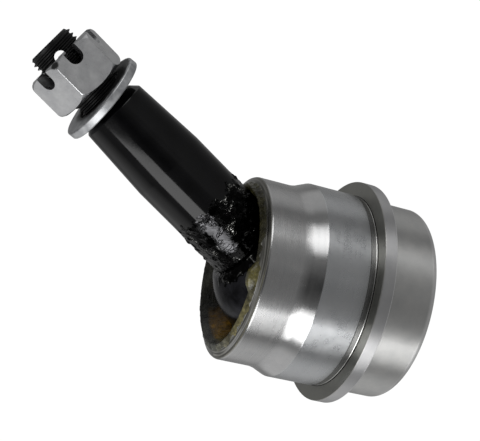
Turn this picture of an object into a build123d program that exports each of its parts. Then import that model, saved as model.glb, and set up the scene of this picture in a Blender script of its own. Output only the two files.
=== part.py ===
from build123d import *
import os
from math import asin, atan2, cos, degrees, radians, sin, sqrt, tan

# Press-in suspension ball joint, in millimetres. The Z axis is the housing's own axis and points out of its
# mouth. The origin is the middle of the press-in band. The stud leans over towards +X until it nears the rim.

# Housing, outside
PRESS_RADIUS = 32.6
PRESS_LENGTH = 14.0
RAMP_RISE = 2.2
RAMP_ANGLE = 22.5
RAMP_FOOT_FILLET = 3.0
RAMP_TOP_FILLET = 10.0
MOUTH_LENGTH = 12.888
RIM_WIDTH = 4.2
RIM_DROP = 2.2
RIM_EDGE_FILLET = 1.0
RELIEF_DEPTH = 0.35
RELIEF_LENGTH = 2.4
RELIEF_FILLET = 0.45
FLANGE_WIDTH = 4.75
FLANGE_THICKNESS = 4.3
FLANGE_CHAMFER = 0.3
BASE_STEP = 0.15
BASE_LENGTH = 17.5
BASE_EDGE_FILLET = 2.1

# Housing, inside
BORE_SHARE = 27.5 / 32.6
LIP_THICKNESS = 3.6
MOUTH_RELIEF_ANGLE = 0.3
PLATE_SHOULDER_WIDTH = 1.95
ROLLED_LIP_WIDTH = 2.45
ROLLED_LIP_THICKNESS = 2.6

# Ball and stud, with lengths counted from the ball's centre along the stud
BALL_FLAT_RADIUS = 8.0
SHOULDER_OFFSET = -4.0
SHANK_LENGTH = 52.56
TAPER_LENGTH = 24.44
TAPER_PER_SIDE = 1 / 16
STUD_CHAMFER = 2.3
THREAD_STEP = 0.9525
THREAD_LENGTH = 26.4
THREAD_END_CHAMFER = 1.3
COTTER_HOLE_RADIUS = 2.0
COTTER_HOLE_TO_END = 5.5
COTTER_HOLE_ANGLE = -12.0

# Distance left between the shank and the rim when the stud leans all the way over
STOP_GAP = 0.54

# Bearings. The seat takes its share of the bore's radius, and the shank's bore its share of the ball's
SEAT_SHARE = 22.08 / 27.5
SHANK_BORE_SHARE = 12.83 / 22.0
CUP_FLOOR_THICKNESS = 4.52
BALL_CLEARANCE = 0.08
SHANK_CLEARANCE = 0.05
SHOULDER_CLEARANCE = 0.05
HALF_BALL_LAND = 2.25
HALF_BALL_EDGE_CHAMFER = 0.5
SEAT_GAP = 1.0
MOUTH_STEP = 0.3
CUP_CLEARANCE = 0.05
CUP_RECESS_GAP = 0.5
CUP_EDGE_CHAMFER = 0.8
DISH_CLEARANCE = 1.4
GREASE_HOLE_CLEARANCE = 0.6
GREASE_GROOVE_RADIUS = 1.0
GREASE_GROOVE_PAIRS = 2

# Preload spring
SPRING_THICKNESS = 2.0
SPRING_CONE_HEIGHT = 1.1
SPRING_INSET = 1.5
SPRING_GAP = 0.5
SPRING_CLEARANCE = 0.02

# Cover plate and its seal
PLATE_RIM_THICKNESS = 4.0
PLATE_THICKNESS = 2.8
DISH_HEIGHT = 6.6
DISH_TOP_RADIUS = 12.5
DISH_FLARE = 4.0
DISH_FILLET = 1.0
SEAL_GROOVE_DEPTH = 1.4
SEAL_GROOVE_WIDTH = 2.3
SEAL_CLEARANCE = 0.02
SEAL_SIDE_CLEARANCE = 0.12

# Grease fitting, from its seat under the plate
FITTING_THREAD_RADIUS = 3.0
FITTING_THREAD_LENGTH = 4.4
FITTING_HEX_WIDTH = 7.0
FITTING_HEX_HEIGHT = 3.0
FITTING_NECK_RADIUS = 2.3
FITTING_NECK_LENGTH = 2.4
FITTING_HEAD_RADIUS = 3.25
FITTING_HEAD_LENGTH = 3.9
FITTING_HEAD_BAND = 0.9
FITTING_TIP_RADIUS = 2.2
FITTING_MOUTH_DEPTH = 1.1
FITTING_CHAMBER_LENGTH = 9.4
CHAMBER_CLEARANCE = 0.2
CHECK_BALL_RADIUS = 1.15
CHECK_BALL_SEAT = 0.25
CHECK_BALL_CLEARANCE = 0.02
COIL_WIRE_RADIUS = 0.15
COIL_CLEARANCE = 0.25
COIL_TURNS = 7

# Washer, loose and askew on the thread
WASHER_WIDTH = 7.35
WASHER_HOLE_CLEARANCE = 0.75
WASHER_THICKNESS = 2.8
WASHER_EDGE_FILLET = 0.5
WASHER_LIFT = 0.27
WASHER_TILT = 9.1
WASHER_TILT_DIRECTION = 37.0
WASHER_OFFSET = 0.1
WASHER_OFFSET_DIRECTION = 97.0

# Slotted nut
NUT_WALL = 4.0
NUT_HEIGHT = 14.5
NUT_GAP = 0.48
NUT_CORNER_ANGLE = -26.0
NUT_FACE_INSET = 0.4
NUT_CHAMFER_ANGLE = 30.0
NUT_CORNER_FILLET = 2.5
NUT_THREAD_CLEARANCE = 0.05
NUT_MOUTH_CHAMFER = 0.8
SLOT_WIDTH = 5.0
SLOT_DEPTH = 5.5
SLOT_FILLET = 2.4
SLOT_COUNT = 6

# Radii, from the housing inwards to the stud and out again to the nut
mouth_radius = PRESS_RADIUS - RAMP_RISE
rim_radius = mouth_radius - RIM_WIDTH
flange_radius = PRESS_RADIUS + FLANGE_WIDTH
base_radius = PRESS_RADIUS - BASE_STEP
bore_radius = PRESS_RADIUS * BORE_SHARE
plate_radius = bore_radius + PLATE_SHOULDER_WIDTH
rolled_lip_radius = plate_radius - ROLLED_LIP_WIDTH
seat_radius = bore_radius * SEAT_SHARE
ball_radius = seat_radius - BALL_CLEARANCE
shank_bore_radius = ball_radius * SHANK_BORE_SHARE
shank_radius = shank_bore_radius - SHANK_CLEARANCE
taper_end_radius = shank_radius - TAPER_LENGTH * TAPER_PER_SIDE
thread_radius = taper_end_radius - STUD_CHAMFER - THREAD_STEP
washer_radius = thread_radius + WASHER_WIDTH
nut_half_width = thread_radius + NUT_WALL

# Heights along the housing
press_top = PRESS_LENGTH / 2
press_bottom = -PRESS_LENGTH / 2
ramp_foot = press_top + RAMP_FOOT_FILLET * tan(radians(RAMP_ANGLE / 2))
ramp_top = ramp_foot + RAMP_RISE / tan(radians(RAMP_ANGLE))
rim_corner = ramp_top + MOUTH_LENGTH
rim_top = rim_corner + RIM_DROP
lip_seat = rim_top - LIP_THICKNESS
flange_top = press_bottom - RELIEF_LENGTH
flange_bottom = flange_top - FLANGE_THICKNESS
base_end = flange_bottom - BASE_LENGTH
plate_bottom = base_end + ROLLED_LIP_THICKNESS
plate_top = plate_bottom + PLATE_RIM_THICKNESS
spring_top = plate_top + SPRING_THICKNESS + SPRING_CONE_HEIGHT
cup_bottom = spring_top + SPRING_CLEARANCE
dish_top = plate_top + DISH_HEIGHT
fitting_seat = dish_top - PLATE_THICKNESS
cup_ceiling = dish_top + DISH_CLEARANCE
ball_height = cup_ceiling + CUP_FLOOR_THICKNESS + seat_radius

# The stud leans until its shank is the stop gap away from the rim, and the mouth's cone lies along it
rim_distance = sqrt(rim_radius**2 + (rim_top - ball_height) ** 2)
rim_angle = degrees(atan2(rim_radius, rim_top - ball_height))
stud_lean = rim_angle - degrees(asin((shank_radius + STOP_GAP) / rim_distance))
mouth_slope = tan(radians(stud_lean + MOUTH_RELIEF_ANGLE))

# Sizes of the half ball, cup, spring and plate where they meet
half_ball_top = sqrt(ball_radius**2 - (shank_bore_radius + HALF_BALL_LAND) ** 2)
ball_base = sqrt(ball_radius**2 - BALL_FLAT_RADIUS**2)
dish_foot_radius = DISH_TOP_RADIUS + DISH_FLARE
cup_radius = bore_radius - CUP_CLEARANCE
cup_recess_radius = dish_foot_radius + CUP_RECESS_GAP
spring_hole_radius = cup_recess_radius + SPRING_INSET
spring_radius = bore_radius - SPRING_GAP
grease_hole_radius = FITTING_THREAD_RADIUS + GREASE_HOLE_CLEARANCE

# Heights and radii inside the grease fitting
fitting_top = fitting_seat + FITTING_THREAD_LENGTH
fitting_hex_end = fitting_seat - FITTING_HEX_HEIGHT
fitting_neck_end = fitting_hex_end - FITTING_NECK_LENGTH
fitting_tip = fitting_neck_end - FITTING_HEAD_LENGTH
chamber_floor = fitting_tip + FITTING_MOUTH_DEPTH
chamber_end = chamber_floor + FITTING_CHAMBER_LENGTH
chamber_radius = CHECK_BALL_RADIUS + CHAMBER_CLEARANCE
fitting_mouth_radius = CHECK_BALL_RADIUS - CHECK_BALL_SEAT
coil_radius = chamber_radius - COIL_CLEARANCE - COIL_WIRE_RADIUS
check_ball_height = chamber_floor + sqrt(CHECK_BALL_RADIUS**2 - fitting_mouth_radius**2) + CHECK_BALL_CLEARANCE

# Lengths along the stud, and the washer and the nut stacked on its shoulder
taper_end = SHANK_LENGTH + TAPER_LENGTH
stud_shoulder = taper_end + STUD_CHAMFER
stud_end = stud_shoulder + THREAD_LENGTH
washer_hole_radius = thread_radius + WASHER_HOLE_CLEARANCE
washer_half_height = WASHER_THICKNESS / 2 * cos(radians(WASHER_TILT))
washer_hole_drop = washer_half_height + washer_hole_radius * sin(radians(WASHER_TILT))
washer_rise = washer_half_height + nut_half_width * sin(radians(WASHER_TILT))
washer_middle = stud_shoulder + WASHER_LIFT + washer_hole_drop
nut_bottom = washer_middle + washer_rise + NUT_GAP

# The stud's own frame: Z runs along the stud from the ball's centre, and angles count from the row's -Y
stud_frame = Location(
    Plane(
        origin=(0, 0, ball_height),
        x_dir=(0, -1, 0),
        z_dir=(sin(radians(stud_lean)), 0, cos(radians(stud_lean))),
    )
)


def turned(outline):
    """Revolve a closed outline of radius and height about Z."""
    return revolve(Plane.XZ * make_face(outline), Axis.Z)


def turned_points(*points):
    """Revolve a closed polygon of (radius, height) points about Z."""
    return turned(Polyline(*points, close=True))


def rounded(solid, radius, height, fillet_radius):
    """Fillet the circular edge that lies at this radius and height."""
    edges = solid.edges().filter_by(GeomType.CIRCLE)
    nearest = edges.sort_by(lambda e: abs(e.radius - radius) + abs(e.arc_center.Z - height))[0]
    return fillet(nearest, fillet_radius)


def chamfered(solid, radius, height, size):
    """Chamfer the circular edge that lies at this radius and height."""
    edges = solid.edges().filter_by(GeomType.CIRCLE)
    nearest = edges.sort_by(lambda e: abs(e.radius - radius) + abs(e.arc_center.Z - height))[0]
    return chamfer(nearest, size)


def ball_arc(radius, start_height, end_height):
    """An arc of a circle about the origin, between two heights, on the side of positive radius."""
    middle = (start_height + end_height) / 2
    return ThreePointArc(
        (sqrt(radius**2 - start_height**2), start_height),
        (sqrt(radius**2 - middle**2), middle),
        (sqrt(radius**2 - end_height**2), end_height),
    )


def mouth_radius_at(height, step=0.0):
    """Radius of the mouth's cone at a height, with the cone set back by a step."""
    return rim_radius - (rim_top - height) * mouth_slope + step


def make_housing():
    """Turned steel body. Its lip keeps the upper bearing in, and its rolled base lip keeps the cover plate in."""
    body = turned_points(
        (rim_radius, rim_top),
        (mouth_radius, rim_corner),
        (mouth_radius, ramp_top),
        (PRESS_RADIUS, ramp_foot),
        (PRESS_RADIUS, press_bottom),
        (PRESS_RADIUS - RELIEF_DEPTH, press_bottom - RELIEF_DEPTH),
        (PRESS_RADIUS - RELIEF_DEPTH, flange_top),
        (flange_radius, flange_top),
        (flange_radius, flange_bottom),
        (base_radius, flange_bottom),
        (base_radius, base_end),
        (rolled_lip_radius, base_end),
        (rolled_lip_radius, plate_bottom),
        (plate_radius, plate_bottom),
        (plate_radius, plate_top),
        (bore_radius, plate_top),
        (bore_radius, lip_seat),
        (mouth_radius_at(lip_seat), lip_seat),
    )
    body = rounded(body, mouth_radius, rim_corner, RIM_EDGE_FILLET)
    body = rounded(body, mouth_radius, ramp_top, RAMP_TOP_FILLET)
    body = rounded(body, PRESS_RADIUS, ramp_foot, RAMP_FOOT_FILLET)
    body = rounded(body, PRESS_RADIUS - RELIEF_DEPTH, flange_top, RELIEF_FILLET)
    body = rounded(body, base_radius, base_end, BASE_EDGE_FILLET)
    body = rounded(body, rolled_lip_radius, base_end, ROLLED_LIP_THICKNESS / 2)
    body = chamfered(body, flange_radius, flange_top, FLANGE_CHAMFER)
    return chamfered(body, flange_radius, flange_bottom, FLANGE_CHAMFER)


def grease_grooves():
    """Round grooves that run down the seat like meridians, as one cutting tool."""
    ring = Torus(seat_radius, GREASE_GROOVE_RADIUS)
    angles = [180 * index / GREASE_GROOVE_PAIRS for index in range(GREASE_GROOVE_PAIRS)]
    return Compound([Pos(0, 0, ball_height) * Rot(90, 0, angle) * ring for angle in angles])


def seat_and_mouth_meet():
    """Height above the ball's centre, and its seat, where the seat's sphere meets the mouth's cone."""
    offset = mouth_radius_at(ball_height, MOUTH_STEP)
    half = offset * mouth_slope
    square = 1 + mouth_slope**2
    return (sqrt(half**2 - square * (offset**2 - seat_radius**2)) - half) / square


def make_upper_bearing():
    """Ring with the upper half of the ball's seat and the inner part of the mouth's cone."""
    foot = SEAT_GAP / 2
    top = lip_seat - ball_height
    mouth = mouth_radius_at(lip_seat, MOUTH_STEP)
    seat = ball_arc(seat_radius, foot, seat_and_mouth_meet())
    rest = Polyline(seat @ 1, (mouth, top), (bore_radius, top), (bore_radius, foot), seat @ 0)
    ring = Pos(0, 0, ball_height) * turned([seat, rest])
    ring = chamfered(ring, bore_radius, ball_height + foot, CUP_EDGE_CHAMFER)
    return ring - grease_grooves()


def make_lower_bearing():
    """Pressure cup with the lower half of the seat, a grease hole and a recess for the plate's dish."""
    top = -SEAT_GAP / 2
    bottom = cup_bottom - ball_height
    ceiling = cup_ceiling - ball_height
    seat = ball_arc(seat_radius, -sqrt(seat_radius**2 - grease_hole_radius**2), top)
    rest = Polyline(
        seat @ 1,
        (cup_radius, top),
        (cup_radius, bottom),
        (cup_recess_radius, bottom),
        (cup_recess_radius, ceiling),
        (grease_hole_radius, ceiling),
        seat @ 0,
    )
    cup = Pos(0, 0, ball_height) * turned([seat, rest])
    cup = chamfered(cup, cup_radius, ball_height + top, CUP_EDGE_CHAMFER)
    cup = chamfered(cup, cup_radius, cup_bottom, CUP_EDGE_CHAMFER)
    return cup - grease_grooves()


def make_preload_spring():
    """Disc spring. Its inner edge bears on the cup and its outer edge stands on the cover plate."""
    return turned_points(
        (spring_hole_radius, spring_top),
        (spring_radius, plate_top + SPRING_THICKNESS),
        (spring_radius, plate_top),
        (spring_hole_radius, spring_top - SPRING_THICKNESS),
    )


def make_cover_plate():
    """Dished plate in the base, with a groove in its rim for the seal and a tapped hole for the fitting."""
    slope = DISH_FLARE / DISH_HEIGHT
    wall = PLATE_THICKNESS * sqrt(1 + slope**2)
    under_top = DISH_TOP_RADIUS + PLATE_THICKNESS * slope - wall
    under_foot = dish_foot_radius + PLATE_RIM_THICKNESS * slope - wall
    plate = turned_points(
        (FITTING_THREAD_RADIUS, dish_top),
        (DISH_TOP_RADIUS, dish_top),
        (dish_foot_radius, plate_top),
        (plate_radius, plate_top),
        (plate_radius, plate_bottom),
        (under_foot, plate_bottom),
        (under_top, fitting_seat),
        (FITTING_THREAD_RADIUS, fitting_seat),
    )
    plate = rounded(plate, DISH_TOP_RADIUS, dish_top, DISH_FILLET)
    plate = rounded(plate, dish_foot_radius, plate_top, DISH_FILLET)
    plate = rounded(plate, under_foot, plate_bottom, DISH_FILLET)
    plate = rounded(plate, under_top, fitting_seat, DISH_FILLET)
    middle = (plate_top + plate_bottom) / 2
    groove = Pos(plate_radius, middle) * Rectangle(2 * SEAL_GROOVE_DEPTH, SEAL_GROOVE_WIDTH)
    return plate - revolve(Plane.XZ * groove, Axis.Z)


def make_cover_seal():
    """Rubber ring, squeezed between the groove's floor and the housing."""
    middle = (plate_top + plate_bottom) / 2
    thickness = SEAL_GROOVE_DEPTH - 2 * SEAL_CLEARANCE
    width = SEAL_GROOVE_WIDTH - 2 * SEAL_SIDE_CLEARANCE
    radius = plate_radius - SEAL_CLEARANCE - thickness / 2
    section = Pos(radius, middle) * SlotOverall(width, thickness, rotation=90)
    return revolve(Plane.XZ * section, Axis.Z)


def make_grease_fitting():
    """Nipple with a hexagon, a waisted head and a bored chamber for its ball and spring."""
    flare = FITTING_HEAD_RADIUS - FITTING_NECK_RADIUS
    blank = turned_points(
        (0, fitting_top),
        (FITTING_THREAD_RADIUS, fitting_top),
        (FITTING_THREAD_RADIUS, fitting_seat),
        (FITTING_NECK_RADIUS, fitting_hex_end),
        (FITTING_NECK_RADIUS, fitting_neck_end + flare),
        (FITTING_HEAD_RADIUS, fitting_neck_end),
        (FITTING_HEAD_RADIUS, fitting_neck_end - FITTING_HEAD_BAND),
        (FITTING_TIP_RADIUS, fitting_tip),
        (0, fitting_tip),
    )
    hexagon = RegularPolygon(FITTING_HEX_WIDTH / 2, 6, major_radius=False)
    blank += Pos(0, 0, fitting_hex_end) * extrude(hexagon, FITTING_HEX_HEIGHT)
    chamber = Pos(0, 0, chamber_floor) * extrude(Circle(chamber_radius), FITTING_CHAMBER_LENGTH)
    passage = Pos(0, 0, fitting_tip) * extrude(Circle(fitting_mouth_radius), fitting_top - fitting_tip)
    return blank - chamber - passage


def make_check_ball():
    """Steel ball that shuts the nipple's mouth from inside."""
    return Pos(0, 0, check_ball_height) * Sphere(CHECK_BALL_RADIUS)


def make_fitting_spring():
    """Coil spring between the check ball and the end of the chamber."""
    reach = CHECK_BALL_RADIUS + COIL_WIRE_RADIUS + CHECK_BALL_CLEARANCE
    low = check_ball_height + sqrt(reach**2 - coil_radius**2)
    high = chamber_end - COIL_WIRE_RADIUS - CHECK_BALL_CLEARANCE
    path = Helix(pitch=(high - low) / COIL_TURNS, height=high - low, radius=coil_radius)
    wire = Plane(origin=path @ 0, z_dir=path % 0) * Circle(COIL_WIRE_RADIUS)
    return Pos(0, 0, low) * sweep(wire, path=path)


def make_ball_stud():
    """Stud with the lower part of the ball, a thick shank, a long taper and a drilled, threaded end."""
    ball = ball_arc(ball_radius, -ball_base, SHOULDER_OFFSET)
    rest = Polyline(
        ball @ 1,
        (shank_radius, SHOULDER_OFFSET),
        (shank_radius, SHANK_LENGTH),
        (taper_end_radius, taper_end),
        (taper_end_radius - STUD_CHAMFER, stud_shoulder),
        (thread_radius, stud_shoulder),
        (thread_radius, stud_end - THREAD_END_CHAMFER),
        (thread_radius - THREAD_END_CHAMFER, stud_end),
        (0, stud_end),
        (0, -ball_base),
        ball @ 0,
    )
    drill = Rot(0, 0, COTTER_HOLE_ANGLE) * Rot(0, 90, 0) * Cylinder(COTTER_HOLE_RADIUS, 4 * thread_radius)
    return turned([ball, rest]) - Pos(0, 0, stud_end - COTTER_HOLE_TO_END) * drill


def make_half_ball():
    """Bearing ring that makes the upper part of the ball. The shank turns in it."""
    low = SHOULDER_OFFSET + SHOULDER_CLEARANCE
    ball = ball_arc(ball_radius, low, half_ball_top)
    rest = Polyline(ball @ 1, (shank_bore_radius, half_ball_top), (shank_bore_radius, low), ball @ 0)
    ring = turned([ball, rest])
    return chamfered(ring, shank_bore_radius, half_ball_top, HALF_BALL_EDGE_CHAMFER)


def make_slotted_nut():
    """Hexagon nut with a slot across each flat, rounded corners at both ends and a chamfered bore."""
    hexagon = RegularPolygon(nut_half_width, SLOT_COUNT, major_radius=False, rotation=NUT_CORNER_ANGLE)
    corner = nut_half_width / cos(radians(180 / SLOT_COUNT))
    face_radius = nut_half_width - NUT_FACE_INSET
    drop = (corner - face_radius) * tan(radians(NUT_CHAMFER_ANGLE))
    turned_blank = turned_points(
        (0, 0),
        (face_radius, 0),
        (corner, drop),
        (corner, NUT_HEIGHT - drop),
        (face_radius, NUT_HEIGHT),
        (0, NUT_HEIGHT),
    )
    turned_blank = rounded(turned_blank, corner, drop, NUT_CORNER_FILLET)
    turned_blank = rounded(turned_blank, corner, NUT_HEIGHT - drop, NUT_CORNER_FILLET)
    bore = thread_radius + NUT_THREAD_CLEARANCE
    flare = bore + NUT_MOUTH_CHAMFER
    hole = turned_points(
        (0, 0),
        (flare, 0),
        (bore, NUT_MOUTH_CHAMFER),
        (bore, NUT_HEIGHT - NUT_MOUTH_CHAMFER),
        (flare, NUT_HEIGHT),
        (0, NUT_HEIGHT),
    )
    blank = (extrude(hexagon, NUT_HEIGHT) & turned_blank) - hole
    groove = RectangleRounded(SLOT_WIDTH, 2 * SLOT_DEPTH, SLOT_FILLET)
    for index in range(SLOT_COUNT):
        angle = NUT_CORNER_ANGLE + 180 / SLOT_COUNT + 360 * index / SLOT_COUNT
        cutter = extrude(Plane.YZ * groove, corner)
        blank -= Rot(0, 0, angle) * Pos(0, 0, NUT_HEIGHT) * cutter
    return Pos(0, 0, nut_bottom) * blank


def make_flat_washer():
    """Flat washer with rounded edges, askew on the thread."""
    blank = Cylinder(washer_radius, WASHER_THICKNESS) - Cylinder(washer_hole_radius, WASHER_THICKNESS)
    blank = fillet(blank.edges().filter_by(GeomType.CIRCLE), WASHER_EDGE_FILLET)
    direction = radians(WASHER_OFFSET_DIRECTION)
    place = Pos(WASHER_OFFSET * cos(direction), WASHER_OFFSET * sin(direction), washer_middle)
    return place * Rot(0, 0, WASHER_TILT_DIRECTION) * Rot(WASHER_TILT, 0, 0) * blank


housing_parts = {
    "housing": make_housing(),
    "upper_bearing": make_upper_bearing(),
    "lower_bearing": make_lower_bearing(),
    "preload_spring": make_preload_spring(),
    "cover_plate": make_cover_plate(),
    "cover_seal": make_cover_seal(),
    "grease_fitting": make_grease_fitting(),
    "fitting_check_ball": make_check_ball(),
    "fitting_spring": make_fitting_spring(),
}
stud_parts = {
    "ball_stud": make_ball_stud(),
    "half_ball": make_half_ball(),
    "slotted_nut": make_slotted_nut(),
    "flat_washer": make_flat_washer(),
}
pieces = dict(housing_parts)
for name, solid in stud_parts.items():
    pieces[name] = stud_frame * solid

os.makedirs("parts", exist_ok=True)
for name, solid in pieces.items():
    export_step(solid, f"parts/{name}.step")
    print(name, round(solid.volume, 2))
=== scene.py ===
import math

import bmesh
import bpy
from mathutils import Matrix, Vector, noise


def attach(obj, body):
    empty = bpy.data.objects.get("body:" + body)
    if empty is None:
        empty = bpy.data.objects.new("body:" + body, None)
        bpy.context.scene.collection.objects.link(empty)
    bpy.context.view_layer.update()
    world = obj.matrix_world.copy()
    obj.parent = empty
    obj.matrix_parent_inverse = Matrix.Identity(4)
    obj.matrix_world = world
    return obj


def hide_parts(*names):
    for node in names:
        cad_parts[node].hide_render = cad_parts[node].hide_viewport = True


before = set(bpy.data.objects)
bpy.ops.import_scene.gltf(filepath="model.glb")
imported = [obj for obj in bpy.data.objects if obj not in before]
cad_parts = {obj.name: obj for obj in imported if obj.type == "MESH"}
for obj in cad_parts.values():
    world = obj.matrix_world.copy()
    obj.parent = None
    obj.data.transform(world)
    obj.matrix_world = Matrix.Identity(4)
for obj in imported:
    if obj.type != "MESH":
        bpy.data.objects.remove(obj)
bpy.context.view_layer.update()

# Housing. A steel body turned on a lathe: a satin mouth, a polished lead-in ramp, a ground press-in band, a
# relief, a flange and a base. Its mouth lip holds the upper bearing in, and its base lip is rolled over the
# cover plate.
MM = 0.001
BASE_END = -31.2
# Radius, height and how far the corner is cut back, in mm, from the lip down the outside and up the bore
HOUSING_OUTLINE = [
    (26.2, 27.996, 0.35),
    (30.4, 25.796, 0.6),
    (30.4, 12.908, 1.9),
    (32.6, 7.597, 0.2),
    (32.6, -7.0, 0.12),
    (32.25, -7.35, 0.05),
    (32.25, -9.4, 0.45),
    (37.35, -9.4, 0.3),
    (37.35, -13.7, 0.3),
    (32.45, -13.7, 0.12),
    (32.45, BASE_END, 2.1),
    (27.0, BASE_END, 1.3),
    (27.0, -28.6, 0.05),
    (29.45, -28.6, 0),
    (29.45, -24.6, 0),
    (27.5, -24.6, 0.1),
    (27.5, 24.396, 0.1),
    (24.03, 24.396, 0.1),
]
# Points of a turned piece that lie nearer than this, in mm, are one
MERGE_DISTANCE = 0.0005


def closed_line(mesh, points):
    """Joins (radius, height) points in the XZ plane into a closed line. Gives its corners and its sides."""
    corners = [mesh.verts.new((radius, 0, height)) for radius, height in points]
    sides = [mesh.edges.new(pair) for pair in zip(corners, corners[1:] + corners[:1])]
    return corners, sides


def round_corner(mesh, corner, offset, segments):
    bmesh.ops.bevel(mesh, geom=[corner], offset=offset, offset_type="OFFSET", segments=segments, profile=0.5,
                    affect="VERTICES", material=-1)


def outline_edges(mesh, outline):
    """Lays a closed outline of (radius, height, rounding), with more segments for a wider rounding."""
    corners, _ = closed_line(mesh, [point[:2] for point in outline])
    for corner, (_, _, rounding) in zip(corners, outline):
        if rounding:
            round_corner(mesh, corner, rounding, 2 + int(5 * min(rounding, 2)))


def turn(mesh, steps):
    """Turns the outline about Z into a closed shell, with its faces outwards."""
    bmesh.ops.spin(mesh, geom=mesh.verts[:] + mesh.edges[:], cent=(0, 0, 0), axis=(0, 0, 1), dvec=(0, 0, 0),
                   angle=math.tau, steps=steps, use_merge=True, use_normal_flip=False, use_duplicate=False)
    bmesh.ops.remove_doubles(mesh, verts=mesh.verts[:], dist=MERGE_DISTANCE)
    bmesh.ops.recalc_face_normals(mesh, faces=mesh.faces[:])


def finished_piece(name, mesh, place, body, material, nodes=(), sharp_from=180):
    """Turns a mesh in millimetres into a piece in metres on its body, which stands for its CAD nodes."""
    mesh.transform(place @ Matrix.Scale(MM, 4))
    for edge in mesh.edges:
        edge.smooth = edge.calc_face_angle(0) < math.radians(sharp_from)
    data = bpy.data.meshes.new(name)
    mesh.to_mesh(data)
    mesh.free()
    data.shade_smooth()
    piece = bpy.data.objects.new(name, data)
    bpy.context.scene.collection.objects.link(piece)
    normals = piece.modifiers.new("even_normals", "WEIGHTED_NORMAL")
    normals.keep_sharp = True
    data.materials.append(material)
    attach(piece, body)
    if nodes:
        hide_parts(*nodes)


def node(tree, kind, inputs=None, **settings):
    """Adds a node, with each input either linked from a socket or set to a value."""
    made = tree.nodes.new(kind)
    for key, value in settings.items():
        setattr(made, key, value)
    for key, value in (inputs or {}).items():
        if isinstance(value, bpy.types.NodeSocket):
            tree.links.new(value, made.inputs[key])
        else:
            made.inputs[key].default_value = value
    return made


def maths(tree, operation, first, second=0.0, third=0.0):
    return node(tree, "ShaderNodeMath", {0: first, 1: second, 2: third}, operation=operation).outputs[0]


def ramp(tree, value, stops):
    """A colour ramp from (position, colour) stops. Positions are set first, because they sort the stops."""
    made = node(tree, "ShaderNodeValToRGB", {"Fac": value})
    elements = made.color_ramp.elements
    while len(elements) < len(stops):
        elements.new(0.5)
    for element, (position, _) in zip(elements, stops):
        element.position = position
    for element, (_, colour) in zip(elements, stops):
        element.color = (*colour, 1)
    return made.outputs["Color"]


def fade(tree, value, start, end, top=1.0):
    """Runs evenly from 0 at the start to its top at the end, and stays there."""
    limits = {"Value": value, "From Min": start, "From Max": end, "To Max": top}
    return node(tree, "ShaderNodeMapRange", limits).outputs[0]


def mix(tree, share, under, over, blend="MIX"):
    """Lays one colour over another by a share."""
    made = node(tree, "ShaderNodeMix", {0: share, 6: under, 7: over}, data_type="RGBA", blend_type=blend)
    return made.outputs[2]


def noise_node(tree, place, scale, detail, roughness=0.5, distortion=0.0):
    """Cloudy noise between 0 and 1, which is finer with a larger scale."""
    settings = {"Vector": place, "Scale": scale, "Detail": detail,
                "Roughness": roughness, "Distortion": distortion}
    return node(tree, "ShaderNodeTexNoise", settings).outputs["Fac"]


def bumps(tree, shader, marks, strength, depth):
    """Gives a surface small marks of a depth in metres."""
    bump = node(tree, "ShaderNodeBump", {"Height": marks, "Strength": strength, "Distance": depth})
    tree.links.new(bump.outputs[0], shader.inputs["Normal"])


def new_finish(name, colour, metallic, roughness):
    """A material with its shader, ready for the marks that its own surface has."""
    material = bpy.data.materials.new(name)
    material.use_nodes = True
    shader = material.node_tree.nodes["Principled BSDF"]
    shader.inputs["Base Color"].default_value = (*colour, 1)
    shader.inputs["Metallic"].default_value = metallic
    shader.inputs["Roughness"].default_value = roughness
    material.diffuse_color = (*colour, 1)
    return material, material.node_tree, shader


def own_place(tree):
    """A point of the surface in the coordinates of its own piece."""
    return node(tree, "ShaderNodeTexCoord").outputs["Object"]


def around_axis(tree):
    """A point of the surface, with its height, radius and angle about the Z axis."""
    place = own_place(tree)
    split = node(tree, "ShaderNodeSeparateXYZ", {0: place})
    square = maths(tree, "MULTIPLY", split.outputs[0], split.outputs[0])
    radius = maths(tree, "SQRT", maths(tree, "MULTIPLY_ADD", split.outputs[1], split.outputs[1], square))
    angle = maths(tree, "ARCTAN2", split.outputs[1], split.outputs[0])
    return place, split.outputs[2], radius, angle


def turn_share(tree, angle):
    """The angle about Z as a share of a turn: 0 at -X, 0.25 at the front, 0.5 at +X and 0.75 at the back."""
    return maths(tree, "MULTIPLY_ADD", angle, 1 / math.tau, 0.5)


def lathe_marks(tree, height, radius, angle, fineness, length):
    """Noise drawn out round the axis, as a turning tool leaves it."""
    across = maths(tree, "MULTIPLY", height, fineness)
    along = maths(tree, "MULTIPLY", angle, length)
    outwards = maths(tree, "MULTIPLY", radius, fineness)
    place = node(tree, "ShaderNodeCombineXYZ", {0: along, 1: outwards, 2: across}).outputs[0]
    return noise_node(tree, place, scale=1.0, detail=3.0)


# The ramps up the housing run over this many mm, with the middle of the press-in band half way
RAMP_SPAN = 60


def ramp_share(height):
    return height / RAMP_SPAN + 0.5


def ramp_by_height(tree, share, stops):
    """A colour ramp from stops at heights in mm."""
    return ramp(tree, share, [(ramp_share(height), colour) for height, colour in stops])


housing_steel, tree, shader = new_finish("turned_steel", (0.56, 0.565, 0.57), metallic=1.0, roughness=0.25)
place, height, radius, angle = around_axis(tree)
height_share = maths(tree, "MULTIPLY_ADD", height, 1 / (RAMP_SPAN * MM), 0.5)
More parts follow.
